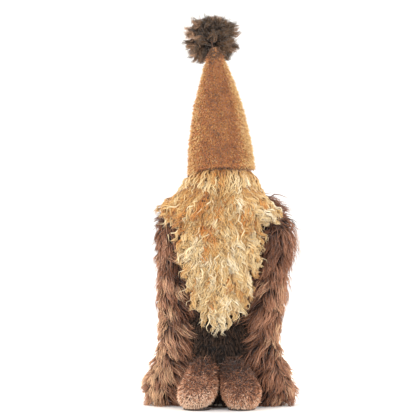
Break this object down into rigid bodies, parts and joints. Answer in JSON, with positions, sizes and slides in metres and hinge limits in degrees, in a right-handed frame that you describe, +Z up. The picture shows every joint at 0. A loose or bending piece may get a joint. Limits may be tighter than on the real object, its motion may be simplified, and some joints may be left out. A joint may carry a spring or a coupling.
{
  "type": "tomte gnome figurine",
  "caption": "Standing stuffed gnome in a tall plush cone hat with a pompom, a long curly beard, long furry arms that reach the floor and short plush feet.",
  "frame": {"origin": "centre of the flat base panel's underside, on the surface that the figure stands on", "axes": "+Z up along the body, -Y towards the beard and the feet, +X to the right as seen from the front"},
  "size_m": [0.1832, 0.1334, 0.4637],
  "materials": {
    "body_plush": "short knitted plush, dark brown",
    "base_felt": "felt, dark brown",
    "board": "grey board, matt",
    "pouch_cotton": "plain calico",
    "pellets": "loose plastic pellets",
    "stuffing": "polyester fibre filling",
    "thread": "buttonhole thread, dark brown",
    "tape": "woven tape",
    "hat_plush": "short speckled plush, terracotta",
    "buckram": "stiffened open-weave cotton",
    "button_plastic": "moulded plastic, satin",
    "pompom_fur": "curled long pile fur, dark brown",
    "beard_backing": "woven backing",
    "mohair": "curly mohair pile, golden cream",
    "arm_fur": "long pile fur, brown with paler tips",
    "foot_plush": "short frosted plush, brown",
    "sole_felt": "felt"
  },
  "bodies": {
    "body": {"body_front_panel": "body_plush", "body_back_panel": "body_plush", "base_panel": "base_felt", "base_board": "board", "pellet_pouch": "pouch_cotton", "pellet_fill": "pellets", "body_stuffing": "stuffing", "beard_stitches": "thread", "left_shoulder_tab": "tape", "right_shoulder_tab": "tape", "left_foot_stitches": "thread", "right_foot_stitches": "thread", "hat_cone": "hat_plush", "hat_buckram": "buckram", "hat_stuffing": "stuffing", "tie_button": "button_plastic"},
    "tie": {"pompom_tie": "thread"},
    "pompom": {"pompom_fur": "pompom_fur", "pompom_core": "stuffing"},
    "beard": {"beard_backing": "beard_backing", "beard_pile": "mohair", "left_moustache_backing": "beard_backing", "left_moustache_pile": "mohair", "right_moustache_backing": "beard_backing", "right_moustache_pile": "mohair"},
    "left_shoulder": {"left_shoulder_knot": "thread"},
    "left_arm": {"left_arm_fur": "arm_fur", "left_arm_stuffing": "stuffing", "left_paw_fur": "arm_fur", "left_paw_stuffing": "stuffing"},
    "left_foot": {"left_foot_plush": "foot_plush", "left_foot_stuffing": "stuffing", "left_foot_sole": "sole_felt"},
    "right_shoulder": {"right_shoulder_knot": "thread"},
    "right_arm": {"right_arm_fur": "arm_fur", "right_arm_stuffing": "stuffing", "right_paw_fur": "arm_fur", "right_paw_stuffing": "stuffing"},
    "right_foot": {"right_foot_plush": "foot_plush", "right_foot_stuffing": "stuffing", "right_foot_sole": "sole_felt"}
  },
  "joints": [
    {"name": "tie_swivel", "type": "hinge", "parent": "body", "child": "tie", "pos_m": [-0.00823, 0, 0.42908], "axis": [-0.0523, 0, 0.9986], "range_deg": [-50, 50]},
    {"name": "pompom_lift", "type": "hinge", "parent": "tie", "child": "pompom", "pos_m": [-0.00823, 0, 0.42908], "axis": [1, 0, 0], "range_deg": [0, 55]},
    {"name": "beard_lift", "type": "hinge", "parent": "body", "child": "beard", "pos_m": [0, -0.031, 0.265], "axis": [-1, 0, 0], "range_deg": [0, 40]},
    {"name": "left_arm_swing", "type": "hinge", "parent": "body", "child": "left_shoulder", "pos_m": [-0.0495, -0.002, 0.236], "axis": [1, 0, 0], "range_deg": [-6, 50]},
    {"name": "left_arm_lift", "type": "hinge", "parent": "left_shoulder", "child": "left_arm", "pos_m": [-0.0495, -0.002, 0.236], "axis": [0, 1, 0], "range_deg": [0, 85]},
    {"name": "left_foot_lift", "type": "hinge", "parent": "body", "child": "left_foot", "pos_m": [-0.01617, -0.03571, 0.059], "axis": [-0.911, 0.4125, 0], "range_deg": [0, 25]},
    {"name": "right_arm_swing", "type": "hinge", "parent": "body", "child": "right_shoulder", "pos_m": [0.059, -0.002, 0.236], "axis": [1, 0, 0], "range_deg": [-6, 50]},
    {"name": "right_arm_lift", "type": "hinge", "parent": "right_shoulder", "child": "right_arm", "pos_m": [0.059, -0.002, 0.236], "axis": [0, -1, 0], "range_deg": [0, 85]},
    {"name": "right_foot_lift", "type": "hinge", "parent": "body", "child": "right_foot", "pos_m": [0.01617, -0.03571, 0.059], "axis": [-0.911, -0.4125, 0], "range_deg": [0, 25]}
  ]
}
